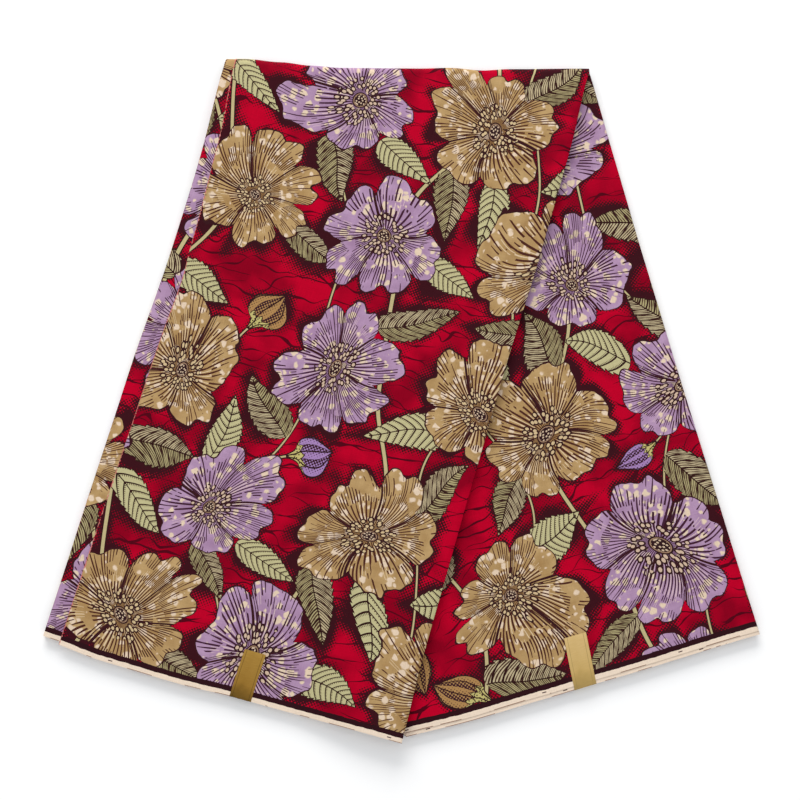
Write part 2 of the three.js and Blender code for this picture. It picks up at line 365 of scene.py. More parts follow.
# x and y are the middle of a leaf, and turn says which way its tip points. A dense leaf is hatched all
# over, and the others have short ticks between their veins.
LEAVES = [
    {"x": 41, "y": 201, "turn": 9, "length": 71, "width": 37, "dense": 1},
    {"x": 351, "y": 141, "turn": 205, "length": 65, "width": 36, "dense": 0},
    {"x": 313, "y": 235, "turn": 48, "length": 64, "width": 36, "dense": 1},
    {"x": 187, "y": 121, "turn": 337, "length": 70, "width": 39, "dense": 0},
    {"x": 240, "y": 97, "turn": 281, "length": 70, "width": 38, "dense": 1},
    {"x": 256, "y": 383, "turn": 30, "length": 74, "width": 38, "dense": 1},
    {"x": 285, "y": 95, "turn": 273, "length": 64, "width": 33, "dense": 0},
    {"x": 39, "y": 149, "turn": 330, "length": 70, "width": 38, "dense": 0},
    {"x": 134, "y": 263, "turn": 125, "length": 68, "width": 39, "dense": 1},
    {"x": 265, "y": 25, "turn": 338, "length": 72, "width": 37, "dense": 0},
    {"x": 406, "y": 270, "turn": 61, "length": 72, "width": 37, "dense": 1},
    {"x": 38, "y": 364, "turn": 337, "length": 72, "width": 41, "dense": 0},
    {"x": 125, "y": 16, "turn": 338, "length": 64, "width": 33, "dense": 1},
    {"x": 99, "y": 239, "turn": 78, "length": 70, "width": 36, "dense": 0},
    {"x": 272, "y": 272, "turn": 195, "length": 74, "width": 41, "dense": 0},
    {"x": 124, "y": 98, "turn": 303, "length": 66, "width": 35, "dense": 1},
    {"x": 344, "y": 393, "turn": 187, "length": 74, "width": 42, "dense": 1},
]

# Half a leaf's width along it, as a share of the widest, from the stalk to the tip.
LEAF_EDGE = [
    {"along": 0.0, "out": 0.0},
    {"along": 0.04, "out": 0.46},
    {"along": 0.14, "out": 0.80},
    {"along": 0.32, "out": 0.98},
    {"along": 0.52, "out": 0.90},
    {"along": 0.72, "out": 0.62},
    {"along": 0.88, "out": 0.28},
    {"along": 0.95, "out": 0.13},
    {"along": 1.0, "out": 0.0},
]

# x and y are the middle of a bud, and stalk is the length of the stalk behind it.
BUDS = [
    {"x": 439, "y": 113, "turn": 322, "length": 56, "width": 27, "lilac": 1, "stalk": 34},
    {"x": 104, "y": 357, "turn": 63, "length": 56, "width": 29, "lilac": 0, "stalk": 40},
    {"x": 398, "y": 394, "turn": 310, "length": 54, "width": 28, "lilac": 0, "stalk": 26},
    {"x": 183, "y": 229, "turn": 22, "length": 54, "width": 27, "lilac": 1, "stalk": 30},
    {"x": 427, "y": 351, "turn": 97, "length": 56, "width": 29, "lilac": 0, "stalk": 26},
]

# Half a bud's width along it, as a share of the widest, from the foot of its cup to the tip.
BUD_EDGE = [
    {"along": 0.0, "out": 0.14},
    {"along": 0.1, "out": 0.24},
    {"along": 0.2, "out": 0.40},
    {"along": 0.26, "out": 0.66},
    {"along": 0.42, "out": 0.97},
    {"along": 0.58, "out": 0.98},
    {"along": 0.78, "out": 0.66},
    {"along": 0.92, "out": 0.26},
    {"along": 1.0, "out": 0.03},
]

# Stems wind across the cloth: their middle, and two waves that bend them within one repeat.
STEMS = [
    {"x": 8, "sway": 26, "start": 0.4, "ripple": 9, "ripple_start": 1.2, "width": 4.8},
    {"x": 150, "sway": 22, "start": 2.6, "ripple": 10, "ripple_start": 0.2, "width": 3.2},
    {"x": 232, "sway": 24, "start": 4.3, "ripple": 8, "ripple_start": 2.0, "width": 4.8},
    {"x": 318, "sway": 20, "start": 1.4, "ripple": 10, "ripple_start": 3.4, "width": 3.2},
    {"x": 392, "sway": 18, "start": 5.4, "ripple": 9, "ripple_start": 0.9, "width": 4.4},
]


def dye(red, green, blue):
    """A colour as a dyer's chart gives it, 0 to 255, for a shader's socket."""
    channels = [level / 255 for level in (red, green, blue)]
    return tuple(c / 12.92 if c < 0.04 else ((c + 0.055) / 1.055) ** 2.4 for c in channels) + (1.0,)


class Wiring:
    """Adds nodes to a material and joins them up."""

    def __init__(self, material):
        material.use_nodes = True
        self.tree = material.node_tree
        self.shader = self.tree.nodes["Principled BSDF"]

    def feed(self, socket, value):
        if isinstance(value, bpy.types.NodeSocket):
            self.tree.links.new(value, socket)
        else:
            socket.default_value = value

    def add(self, kind, settings, inputs):
        made = self.tree.nodes.new(kind)
        for name, setting in settings.items():
            setattr(made, name, setting)
        for name, value in inputs.items():
            self.feed(made.inputs[name], value)
        return made

    def maths(self, operation, *values):
        made = self.add("ShaderNodeMath", {"operation": operation}, {})
        for socket, value in zip(made.inputs, values):
            self.feed(socket, value)
        return made.outputs[0]

    def vectors(self, operation, *values):
        made = self.add("ShaderNodeVectorMath", {"operation": operation}, {})
        for socket, value in zip(made.inputs, values):
            self.feed(socket, value)
        return made.outputs["Value" if operation in ("LENGTH", "DOT_PRODUCT") else "Vector"]

    def split(self, vector):
        return self.add("ShaderNodeSeparateXYZ", {}, {"Vector": vector}).outputs

    def join(self, x, y, z):
        return self.add("ShaderNodeCombineXYZ", {}, {"X": x, "Y": y, "Z": z}).outputs[0]

    def in_mm(self, uv_map):
        metres = self.add("ShaderNodeUVMap", {"uv_map": uv_map}, {}).outputs[0]
        return self.vectors("MULTIPLY", metres, (1 / MM, 1 / MM, 0))

    def mix(self, data_type, share, below, above, blend_type="MIX"):
        first = {"FLOAT": 2, "VECTOR": 4, "RGBA": 6}[data_type]
        made = self.add("ShaderNodeMix", {"data_type": data_type, "blend_type": blend_type}, {})
        for place, value in ((0, share), (first, below), (first + 1, above)):
            self.feed(made.inputs[place], value)
        return made.outputs[first // 2 - 1]

    def over(self, below, above, where):
        return self.mix("RGBA", where, below, above)

    def noise(self, place, size, detail=1.0, roughness=0.5):
        inputs = {"Vector": place, "Scale": 1 / size, "Detail": detail, "Roughness": roughness}
        return self.add("ShaderNodeTexNoise", {"noise_dimensions": "2D"}, inputs).outputs

    def grain(self, place, size, detail=1.0, roughness=0.5):
        return self.noise(place, size, detail, roughness)[0]

    def cells(self, place, size, randomness=1.0):
        inputs = {"Vector": place, "Scale": 1 / size, "Randomness": randomness}
        return self.add("ShaderNodeTexVoronoi", {"voronoi_dimensions": "2D"}, inputs).outputs

    def ramp(self, value, low, high, at_low=0.0, at_high=1.0):
        inputs = {"Value": value, "From Min": low, "From Max": high, "To Min": at_low, "To Max": at_high}
        return self.add("ShaderNodeMapRange", {}, inputs).outputs[0]

    def profile(self, at, table, by):
        made = self.add("ShaderNodeFloatCurve", {}, {"Value": at})
        curve = made.mapping.curves[0]
        while len(curve.points) < len(table):
            curve.points.new(0.5, 0.5)
        for point, row in zip(curve.points, table):
            point.location = (row[by], row["out"])
        made.mapping.update()
        return made.outputs[0]

    def emboss(self, height, strength):
        """Raises the surface by a height in mm."""
        inputs = {"Height": height, "Strength": strength, "Distance": MM}
        self.feed(self.shader.inputs["Normal"], self.add("ShaderNodeBump", {}, inputs).outputs[0])

    def plus(self, first, second):
        return self.maths("ADD", first, second)

    def minus(self, first, second):
        return self.maths("SUBTRACT", first, second)

    def scaled(self, value, by, shift=None):
        """A value times another, and shifted where a shift is given."""
        if shift is None:
            return self.maths("MULTIPLY", value, by)
        return self.maths("MULTIPLY_ADD", value, by, shift)

    def divided(self, value, by):
        return self.maths("DIVIDE", value, by)

    def size(self, value):
        return self.maths("ABSOLUTE", value)

    def least(self, first, second):
        return self.maths("MINIMUM", first, second)

    def most(self, first, second):
        return self.maths("MAXIMUM", first, second)

    def under(self, at, limit):
        return self.maths("LESS_THAN", at, limit)

    def past(self, at, limit):
        return self.maths("GREATER_THAN", at, limit)

    def both(self, first, second):
        return self.maths("MULTIPLY", first, second)

    def either(self, first, second):
        return self.maths("MAXIMUM", first, second)

    def between(self, low, at, high):
        return self.both(self.past(at, low), self.under(at, high))

    def line(self, at, pitch, width):
        """1 on lines where at is halfway between whole numbers, pitch mm apart and width mm wide."""
        off = self.size(self.minus(self.maths("FRACT", at), 0.5))
        return self.under(self.scaled(off, pitch), self.scaled(width, 0.5))


# How far the whole drawing wanders, and how deep the rims of the flowers are crinkled.
DRIFT = 17.0
CRINKLE = 6.0

printed_cotton = bpy.data.materials.new("printed cotton")
ink = Wiring(printed_cotton)
on_cloth = ink.in_mm("run_and_width")
wobble = ink.noise(on_cloth, 88, 0.0)[1]
drift = ink.vectors("MULTIPLY_ADD", wobble, (2 * DRIFT, 2 * DRIFT, 0), (-DRIFT, -DRIFT, 0))
drawn = ink.vectors("ADD", on_cloth, drift)
crinkle = ink.scaled(ink.grain(on_cloth, 18, 1.5, 0.4), 2 * CRINKLE, -CRINKLE)


def motif_place(centre_x, centre_y, turn, scale_x, scale_y, behind=0.0):
    """A place on the cloth as seen from a motif of the nearest repeat, in shares of its size."""
    middle = Vector((centre_x, centre_y, 0))
    reach = Vector((REPEAT_ALONG / 2, REPEAT_ACROSS / 2, 1))
    near = ink.vectors("WRAP", drawn, middle + reach, middle - reach)
    root = middle - Vector((cos(turn), sin(turn), 0)) * behind
    inputs = {"Vector": near, "Location": root, "Rotation": (0, 0, turn), "Scale": (scale_x, scale_y, 1)}
    return ink.add("ShaderNodeMapping", {"vector_type": "TEXTURE"}, inputs).outputs[0]


def shade_side(place, turn, behind=0.0):
    """How much further, in mm, the dark shade reaches on a motif's lower left side."""
    along = SHADE_SHIFT[0] * cos(turn) + SHADE_SHIFT[1] * sin(turn)
    aside = SHADE_SHIFT[1] * cos(turn) - SHADE_SHIFT[0] * sin(turn)
    side = ink.vectors("DOT_PRODUCT", place, (-along * (1 + behind), -aside, 0))
    return ink.plus(side, along * behind) if behind else side


def laid_over(below, here, kind, off, reach):
    """Lays a motif over those before it: its place and kind count inside its edge, where off is 0."""
    if below is None:
        return here, kind, off, reach
    at, kinds, offs, reaches = below
    inside = ink.under(off, 0.0)
    return (
        ink.mix("VECTOR", inside, at, here),
        ink.mix("VECTOR", inside, kinds, kind),
        ink.least(offs, off),
        ink.least(reaches, reach),
    )


# Stems, behind everything else. They wander less than the motifs.
STEM_DRIFT = 0.3
stem_drawn = ink.vectors("MULTIPLY_ADD", drift, (STEM_DRIFT, STEM_DRIFT, 0), on_cloth)
across_x, across_y = ink.split(stem_drawn)[0:2]
stem_off = None
for stem in STEMS:
    phase = ink.scaled(across_y, 2 * pi / REPEAT_ACROSS, stem["start"])
    ripple_phase = ink.scaled(across_y, 4 * pi / REPEAT_ACROSS, stem["ripple_start"])
    bent = ink.scaled(ink.maths("SINE", phase), stem["sway"], float(stem["x"]))
    bent = ink.scaled(ink.maths("SINE", ripple_phase), stem["ripple"], bent)
    aside = ink.maths("WRAP", ink.minus(across_x, bent), REPEAT_ALONG / 2, -REPEAT_ALONG / 2)
    off = ink.minus(ink.size(aside), stem["width"] / 2)
    stem_off = off if stem_off is None else ink.least(stem_off, off)

# Leaves, with saw teeth along both sides.
LEAF_TEETH = 10.0
TOOTH_DEPTH = 0.12
leaves = None
for leaf in LEAVES:
    turn = radians(leaf["turn"])
    half = leaf["width"] / 2
    place = motif_place(leaf["x"], leaf["y"], turn, leaf["length"], half, leaf["length"] / 2)
    x, y = ink.split(place)[0:2]
    tooth = ink.maths("FRACT", ink.scaled(x, LEAF_TEETH))
    edge = ink.scaled(ink.profile(x, LEAF_EDGE, "along"), ink.scaled(tooth, -TOOTH_DEPTH, 1.0))
    off = ink.scaled(ink.minus(ink.size(y), edge), half)
    shade = ink.plus(off, shade_side(place, turn, 1.0))
    kind = (leaf["length"], half, leaf["dense"])
    leaves = laid_over(leaves, ink.join(x, y, off), kind, off, shade)
leaf_at, leaf_kind, leaf_off, leaf_shade = leaves

# Buds, each on its own bent stalk, which stops short where the bud covers it.
STALK_BOW = 1.6
STALK_HALF_WIDTH = 1.5
STALK_STOP = 50.0
buds = None
for bud in BUDS:
    turn = radians(bud["turn"])
    half = bud["width"] / 2
    place = motif_place(bud["x"], bud["y"], turn, bud["length"], half, bud["length"] / 2)
    x, y = ink.split(place)[0:2]
    edge = ink.profile(x, BUD_EDGE, "along")
    off = ink.scaled(ink.minus(ink.size(y), edge), half)
    off = ink.most(off, ink.scaled(x, -bud["length"]))
    behind = ink.least(x, 0.0)
    bow = ink.scaled(ink.scaled(behind, behind), STALK_BOW)
    stalk = ink.size(ink.scaled(ink.plus(y, bow), half))
    far = ink.scaled(x, -bud["length"], -bud["stalk"])
    stalk = ink.most(ink.minus(stalk, STALK_HALF_WIDTH), ink.most(far, ink.scaled(x, STALK_STOP)))
    kind = (bud["length"], half, bud["lilac"])
    buds = laid_over(buds, ink.join(x, y, off), kind, off, stalk)
bud_at, bud_kind, bud_off, stalk_off = buds
stem_off = ink.least(stem_off, stalk_off)

# Flowers, over everything else, with petals of uneven width.
PETALS_UNEVEN = 0.24


def uneven_angle(x, y, radius):
    """The angle round a flower, drawn out and in so that its petals are not of one width."""
    angle = ink.maths("ARCTAN2", y, x)
    return ink.scaled(ink.maths("SINE", ink.plus(angle, radius)), PETALS_UNEVEN, angle)


flowers = None
for flower in FLOWERS:
    turn = radians(flower["turn"])
    radius = flower["radius"]
    place = motif_place(flower["x"], flower["y"], turn, radius, radius * flower["squash"])
    x, y = ink.split(place)[0:2]
    away = ink.vectors("LENGTH", place)
    sector = ink.scaled(uneven_angle(x, y, radius), flower["petals"] / pi)
    edge = ink.profile(ink.maths("PINGPONG", sector, 1.0), PETAL_EDGE, "aside")
    off = ink.scaled(ink.minus(away, edge), radius, crinkle)
    shade = ink.plus(off, shade_side(place, turn))
    kind = (radius, flower["lilac"], flower["petals"])
    flowers = laid_over(flowers, ink.join(x, y, off), kind, off, shade)
flower_at, flower_kind, flower_off, flower_shade = flowers

# The ground: red, clouded, with fine dark crackle in two sets, one level and one that leans.
DEEP_RED = dye(142, 0, 30)
RED = dye(192, 0, 40)
CRACKLE_INK = dye(84, 6, 24)
LEVEL_PITCH = 16.0
LEANING_PITCH = 23.0
LEAN = 0.011
red_ground = ink.over(DEEP_RED, RED, ink.ramp(ink.grain(on_cloth, 46, 2.0), 0.34, 0.62))
run, width = ink.split(on_cloth)[0:2]
veer = ink.noise(on_cloth, 44, 1.5)
level = ink.scaled(veer[0], 1.5, ink.divided(width, LEVEL_PITCH))
leaning = ink.scaled(run, LEAN, ink.divided(width, -LEANING_PITCH))
leaning = ink.scaled(ink.split(veer[1])[1], 1.8, leaning)
thin = ink.scaled(ink.grain(on_cloth, 24), 4.6, -1.3)
crackle = ink.either(ink.line(level, LEVEL_PITCH, thin), ink.line(leaning, LEANING_PITCH, thin))
ground = ink.over(red_ground, CRACKLE_INK, crackle)

# The shade round every motif, which dissolves into the ground in dots.
SHADE_INK = dye(60, 19, 27)
DOT_PERIOD = 3.4
DOT_TURN = radians(6)
SHADE_FULL = 0.6
SHADE_GONE = 12.0
STEM_SHADE_LESS = 2.4
dot_scale = (2 * pi / DOT_PERIOD,) * 3
inputs = {"Vector": on_cloth, "Rotation": (0, 0, DOT_TURN), "Scale": dot_scale}
dot_x, dot_y = ink.split(ink.add("ShaderNodeMapping", {}, inputs).outputs[0])[0:2]
dots = ink.scaled(ink.maths("SINE", dot_x), ink.maths("SINE", dot_y))
halftone = ink.scaled(dots, 0.5, 0.5)
stem_shade = ink.plus(ink.least(bud_off, stem_off), STEM_SHADE_LESS)
shade = ink.least(ink.least(flower_shade, leaf_shade), stem_shade)
ragged = ink.scaled(ink.grain(on_cloth, 38), 26.0, -10.4)
shade_share = ink.ramp(ink.plus(shade, ragged), SHADE_FULL, SHADE_GONE, 1.0, 0.0)
picture = ink.over(ground, SHADE_INK, ink.under(halftone, shade_share))

# Stems: pale, edged in dark.
STEM_DYE = dye(196, 181, 134)
STEM_OUTLINE = dye(58, 22, 26)
picture = ink.over(picture, STEM_DYE, ink.under(stem_off, 0.0))
picture = ink.over(picture, STEM_OUTLINE, ink.between(-0.75, stem_off, 0.45))

# Leaves: a midrib, side veins that curve to the tip, and ticks or fine hatching between them. A step is
# taken along the midrib, and a pitch square to the lines, which lean.
LEAF_DYE = dye(197, 189, 143)
DENSE_LEAF_DYE = dye(195, 179, 143)
DENSE_LEAF_DARK_SIDE = dye(176, 164, 120)
LEAF_HATCH = dye(76, 50, 40)
LEAF_OUTLINE = dye(50, 26, 24)
VEIN_STEP = 7.0
VEIN_PITCH = 5.0
VEIN_LINE = 0.95
TICK_STEP = 2.6
TICK_PITCH = 1.7
TICK_LINE = 0.6
FINE_STEP = 2.2
FINE_PITCH = 1.85
x, y, off = ink.split(leaf_at)
length, half, dense = ink.split(leaf_kind)
along = ink.scaled(x, length)
aside = ink.scaled(ink.size(y), half)
bent_back = ink.scaled(aside, ink.scaled(aside, 0.022, 0.5))
vein_place = ink.divided(ink.minus(along, bent_back), VEIN_STEP)
veins = ink.line(vein_place, VEIN_PITCH, VEIN_LINE)
midrib = ink.both(ink.under(aside, 0.55), ink.under(x, 0.93))
tick_place = ink.divided(ink.scaled(aside, 1.15, along), TICK_STEP)
ticks = ink.line(tick_place, TICK_PITCH, TICK_LINE)
ticks = ink.both(ticks, ink.between(0.5, ink.maths("FRACT", vein_place), 0.8))
fine_place = ink.divided(ink.scaled(bent_back, -1.25, along), FINE_STEP)
fine = ink.line(fine_place, FINE_PITCH, ink.scaled(ink.grain(on_cloth, 8), 1.7))
leaf_tone = ink.over(LEAF_DYE, DENSE_LEAF_DYE, dense)
leaf_tone = ink.over(leaf_tone, DENSE_LEAF_DARK_SIDE, ink.both(dense, ink.under(y, 0.0)))
leaf_colour = ink.over(leaf_tone, LEAF_HATCH, ink.mix("FLOAT", dense, ticks, fine))
leaf_lines = ink.either(ink.either(veins, midrib), ink.past(off, -1.0))
leaf_colour = ink.over(leaf_colour, LEAF_OUTLINE, leaf_lines)
picture = ink.over(picture, leaf_colour, ink.under(leaf_off, 0.0))

# Buds: a pale cup with dark dots below, and folded petals above it in halftone.
TAN_BUD_DYE = dye(176, 134, 84)
LILAC_BUD_DYE = dye(168, 132, 186)
BUD_HALFTONE = dye(60, 30, 40)
CUP_DYE = dye(198, 186, 118)
CUP_DOTS = dye(60, 40, 34)
BUD_OUTLINE = dye(50, 24, 28)
BUD_FOLDS = 1.35
BUD_FOLD_PITCH = 0.74
BUD_FOLD_LINE = 0.95
CUP_HEIGHT = 0.38
CUP_POINTS = 0.22
x, y, off = ink.split(bud_at)
half, lilac = ink.split(bud_kind)[1:3]
edge = ink.minus(ink.size(y), ink.divided(off, half))
turned = ink.divided(y, ink.most(edge, 0.05))
fold_place = ink.scaled(turned, BUD_FOLDS, ink.scaled(x, 0.35, 0.1))
fold_pitch = ink.scaled(ink.scaled(edge, half), BUD_FOLD_PITCH)
fold_lines = ink.line(fold_place, fold_pitch, BUD_FOLD_LINE)
body = ink.over(TAN_BUD_DYE, LILAC_BUD_DYE, lilac)
dotted = ink.under(halftone, ink.scaled(ink.maths("FRACT", fold_place), 0.85, -0.04))
body = ink.over(body, BUD_HALFTONE, dotted)
cup = ink.over(CUP_DYE, CUP_DOTS, ink.under(ink.cells(on_cloth, 2.6)[0], 0.26))
cup_points = ink.maths("PINGPONG", ink.scaled(turned, 2.0), 0.5)
cup_top = ink.plus(ink.scaled(cup_points, -CUP_POINTS), CUP_HEIGHT)
bud_colour = ink.over(body, cup, ink.under(x, cup_top))
cup_line = ink.under(ink.size(ink.minus(x, cup_top)), 0.012)
bud_lines = ink.either(ink.either(fold_lines, cup_line), ink.past(off, -1.0))
bud_colour = ink.over(bud_colour, BUD_OUTLINE, bud_lines)
picture = ink.over(picture, bud_colour, ink.under(bud_off, 0.0))

# Petals: where a place lies in its petal. Each petal is tucked under the next, with a hatched edge.
CURL = 0.17
TUCK_WIDTH = 5.0
TUCK_PITCH = 1.65
TUCK_LINE = 0.62
BORDER_LINE = 0.72
x, y, off = ink.split(flower_at)
radius, lilac, petals = ink.split(flower_kind)
away = ink.vectors("LENGTH", ink.join(x, y, 0.0))
reach = ink.scaled(away, radius)
angle = uneven_angle(x, y, radius)
curl = ink.scaled(ink.minus(1.0, away), ink.maths("SINE", ink.scaled(angle, 2.0, radius)))
sector = ink.plus(ink.scaled(ink.scaled(angle, petals), 0.5 / pi), ink.scaled(curl, CURL))
from_middle = ink.minus(sector, ink.maths("ROUND", sector))
arc = ink.scaled(ink.divided(reach, petals), 2 * pi)
border = ink.scaled(ink.minus(0.5, ink.size(from_middle)), arc)
tucked = ink.both(ink.past(from_middle, 0.0), ink.under(border, TUCK_WIDTH))
tucked = ink.both(tucked, ink.past(away, 0.3))
tuck_lines = ink.both(tucked, ink.line(ink.divided(border, TUCK_PITCH), TUCK_PITCH, TUCK_LINE))
border_line = ink.both(ink.under(border, BORDER_LINE), ink.past(away, 0.16))

# Strokes fan out from the centre and in from the rim, each by its own lot. Half as many are drawn near
# the centre, where they would crowd, and thin light glints lie between them. The two shares are of
# the strokes' pitch.
LINES_PER_PETAL = 21
CROWDED_REACH = 0.74
STROKE_WIDTH = 0.54
STROKE_GROWTH = 0.06
STROKE_SHARE = 0.54
GLINT_SHARE = 0.34
crowded = ink.under(ink.scaled(ink.grain(on_cloth, 12), 0.24, away), CROWDED_REACH)
stroke = ink.scaled(sector, LINES_PER_PETAL)
stroke = ink.mix("FLOAT", crowded, stroke, ink.scaled(stroke, 0.5, 0.25))
stroke_number = ink.plus(ink.maths("FLOOR", stroke), radius)
lots = ink.add("ShaderNodeTexWhiteNoise", {"noise_dimensions": "1D"}, {"W": stroke_number})
lot_out, lot_in, lot_glint = ink.split(lots.outputs["Color"])
room_out = ink.scaled(ink.minus(ink.scaled(lot_out, 0.45, 0.64), away), radius)
room_in = ink.plus(ink.scaled(lot_in, 34.0, -13.0), off)
room = ink.most(room_out, room_in)
stroke_pitch = ink.divided(ink.scaled(arc, ink.plus(crowded, 1.0)), LINES_PER_PETAL)
stroke_width = ink.scaled(ink.least(room, 12.0), STROKE_GROWTH, STROKE_WIDTH)
stroke_width = ink.least(stroke_width, ink.scaled(stroke_pitch, STROKE_SHARE))
strokes = ink.both(ink.line(stroke, stroke_pitch, stroke_width), ink.past(room, 0.0))
bare = ink.both(ink.past(ink.grain(on_cloth, 19), 0.61), ink.past(away, 0.5))
strokes = ink.both(strokes, ink.minus(1.0, bare))
glints = ink.line(ink.plus(stroke, 0.5), stroke_pitch, ink.scaled(stroke_pitch, GLINT_SHARE))
glints = ink.both(glints, ink.between(0.2, away, ink.scaled(lot_glint, 0.8)))

# The petals' colours, from deep to light towards the rim, under the glints, spots and strokes.
TAN_DYES = (dye(158, 121, 74), dye(201, 168, 118))
LILAC_DYES = (dye(154, 118, 152), dye(194, 160, 193))
GLINT_DYES = (dye(222, 196, 160), dye(214, 185, 190))
STROKE_INKS = (dye(80, 42, 34), dye(68, 34, 52))
SPOT_DYE = dye(232, 208, 182)
PETAL_OUTLINE = dye(58, 26, 30)
SPOT_SPACING = 8.2
SPOT_DRIFT = 4.0
petal_tone = ink.scaled(ink.grain(on_cloth, 15), 0.9, ink.scaled(away, 0.45, -0.25))
tan_petal = ink.over(*TAN_DYES, petal_tone)
lilac_petal = ink.over(*LILAC_DYES, petal_tone)
petal = ink.over(tan_petal, lilac_petal, lilac)
petal = ink.over(petal, ink.over(*GLINT_DYES, lilac), glints)
spot_wobble = ink.noise(on_cloth, 6)[1]
spot_place = ink.vectors("MULTIPLY_ADD", spot_wobble, (SPOT_DRIFT, SPOT_DRIFT, 0), on_cloth)
spot = ink.cells(spot_place, SPOT_SPACING)
spot_lot = ink.split(spot["Color"])
spot_size = ink.scaled(spot_lot[0], 0.42, 0.07)
spot_edge = ink.ramp(ink.minus(spot["Distance"], spot_size), 0.05, -0.1)
has_spot = ink.past(ink.plus(spot_lot[1], ink.scaled(away, 0.34)), 0.52)
petal = ink.over(petal, SPOT_DYE, ink.both(spot_edge, has_spot))
petal = ink.over(petal, ink.over(*STROKE_INKS, lilac), strokes)
petal_lines = ink.either(ink.either(border_line, tuck_lines), ink.past(off, -1.35))
petal = ink.over(petal, PETAL_OUTLINE, petal_lines)

# Stamens in a ring round a dark eye. Each is an oval that points outwards, with a dark outline.
STAMEN_SPACING = 5.4
STAMEN_RING = (3.0, 17.5)
STAMEN_OUTLINE_SIZE = 2.4
STAMEN_SIZE = 1.3
STAMEN_OUTLINE = dye(54, 28, 30)
STAMEN_DYES = (dye(212, 186, 144), dye(212, 184, 160))
EYE_INK = dye(50, 26, 30)
EYE_RING_DYE = dye(164, 130, 104)
EYE_DOT_DYE = dye(214, 188, 160)
EYE_RADIUS = 7.8
EYE_RING = (5.9, 6.7)
EYE_DOT_SPACING = 2.7
EYE_DOTS_RADIUS = 5.6
in_flower = ink.vectors("MULTIPLY", ink.join(x, y, 0.0), ink.join(radius, radius, 1.0))
stamen = ink.cells(in_flower, STAMEN_SPACING, 0.75)
from_stamen = ink.vectors("SUBTRACT", in_flower, stamen["Position"])
outwards = ink.vectors("DOT_PRODUCT", from_stamen, ink.vectors("NORMALIZE", in_flower))
stamen_off = ink.vectors("DOT_PRODUCT", from_stamen, from_stamen)
stamen_off = ink.maths("SQRT", ink.scaled(ink.scaled(outwards, outwards), -0.5, stamen_off))
stamen_ring = ink.vectors("LENGTH", stamen["Position"])
stamen_ring = ink.scaled(ink.grain(on_cloth, 14, 0.0), -12.0, stamen_ring)
stamen_ring = ink.between(STAMEN_RING[0], stamen_ring, STAMEN_RING[1])
stamen_outlines = ink.both(stamen_ring, ink.under(stamen_off, STAMEN_OUTLINE_SIZE))
stamens = ink.both(stamen_ring, ink.under(stamen_off, STAMEN_SIZE))
eye_dots = ink.under(ink.cells(in_flower, EYE_DOT_SPACING, 0.8)[0], 0.3)
eye_dots = ink.both(eye_dots, ink.under(reach, EYE_DOTS_RADIUS))
petal = ink.over(petal, STAMEN_OUTLINE, stamen_outlines)
petal = ink.over(petal, ink.over(*STAMEN_DYES, lilac), stamens)
petal = ink.over(petal, EYE_INK, ink.under(reach, EYE_RADIUS))
petal = ink.over(petal, EYE_RING_DYE, ink.between(EYE_RING[0], reach, EYE_RING[1]))
petal = ink.over(petal, EYE_DOT_DYE, eye_dots)
picture = ink.over(picture, petal, ink.under(flower_off, 0.0))

# Selvedges: unprinted cream along both sides, a dark printed band inside it, short printer's ticks,
# and a broken brown line on the woven edge, partly its darker threads and partly painted shadow between
# the stepped layers.
BAND_INK = dye(48, 20, 26)
CREAM = dye(243, 222, 201)
TICK_INK = dye(70, 36, 40)
EDGE_THREADS_AND_SHADE_DYE = dye(152, 112, 92)
CREAM_WIDTH = 4.4
BAND_END = 9.2
TICKS_APART = 131.0
TICK_LENGTH = 4.0
TICK_PLACE = (1.9, 2.8)
WOVEN_EDGE = 0.55
from_selvedge = ink.least(width, ink.minus(CLOTH_WIDTH, width))
uneven = ink.plus(from_selvedge, ink.scaled(ink.grain(on_cloth, 7, 2.0), 1.2, -0.6))
picture = ink.over(picture, BAND_INK, ink.under(uneven, BAND_END))
picture = ink.over(picture, CREAM, ink.under(uneven, CREAM_WIDTH))
tick = ink.line(ink.divided(run, TICKS_APART), TICKS_APART, TICK_LENGTH)
tick = ink.both(tick, ink.between(TICK_PLACE[0], from_selvedge, TICK_PLACE[1]))
picture = ink.over(picture, TICK_INK, tick)
# Partly painted shadow: the brown edge line darkens every layer's edge, where each layer steps out past
# the one above.
broken = ink.past(ink.grain(on_cloth, 27, 2.0), 0.53)
edge_threads_and_shade = ink.both(ink.under(from_selvedge, WOVEN_EDGE), broken)
picture = ink.over(picture, EDGE_THREADS_AND_SHADE_DYE, edge_threads_and_shade)

# The cut edge: pale ends of thread.
THREAD_END_DYE = dye(206, 120, 112)
cut = ink.add("ShaderNodeAttribute", {"attribute_name": "from_cut"}, {}).outputs["Fac"]
thread_ends = ink.under(cut, ink.scaled(ink.grain(on_cloth, 2.6), 3.0, -1.0))
picture = ink.over(picture, THREAD_END_DYE, thread_ends)

# The weave: plain, with slubs along both threads, puckered, under a light wax finish.
THREAD_PITCH = 0.36
THREAD_RELIEF = 0.03
SLUB_SIZE = 0.9
SLUB_RELIEF = 0.05
PUCKER = 1.1
WAX_ROUGHNESS = 0.72
WAX_GLOSS = 0.025
warp = ink.maths("SINE", ink.scaled(run, 2 * pi / THREAD_PITCH))
weft = ink.maths("SINE", ink.scaled(width, 2 * pi / THREAD_PITCH))
threads = ink.scaled(warp, weft)
warp_slubs = ink.grain(ink.vectors("MULTIPLY", on_cloth, (0.06, 1.0, 0)), SLUB_SIZE)
weft_slubs = ink.grain(ink.vectors("MULTIPLY", on_cloth, (1.0, 0.06, 0)), SLUB_SIZE)
slubs = ink.plus(warp_slubs, weft_slubs)
weave_tone = ink.scaled(slubs, 0.14, 0.75)
tinted = ink.mix("RGBA", 1.0, picture, ink.join(weave_tone, weave_tone, weave_tone), "MULTIPLY")
relief = ink.plus(ink.scaled(threads, THREAD_RELIEF), ink.scaled(slubs, SLUB_RELIEF))
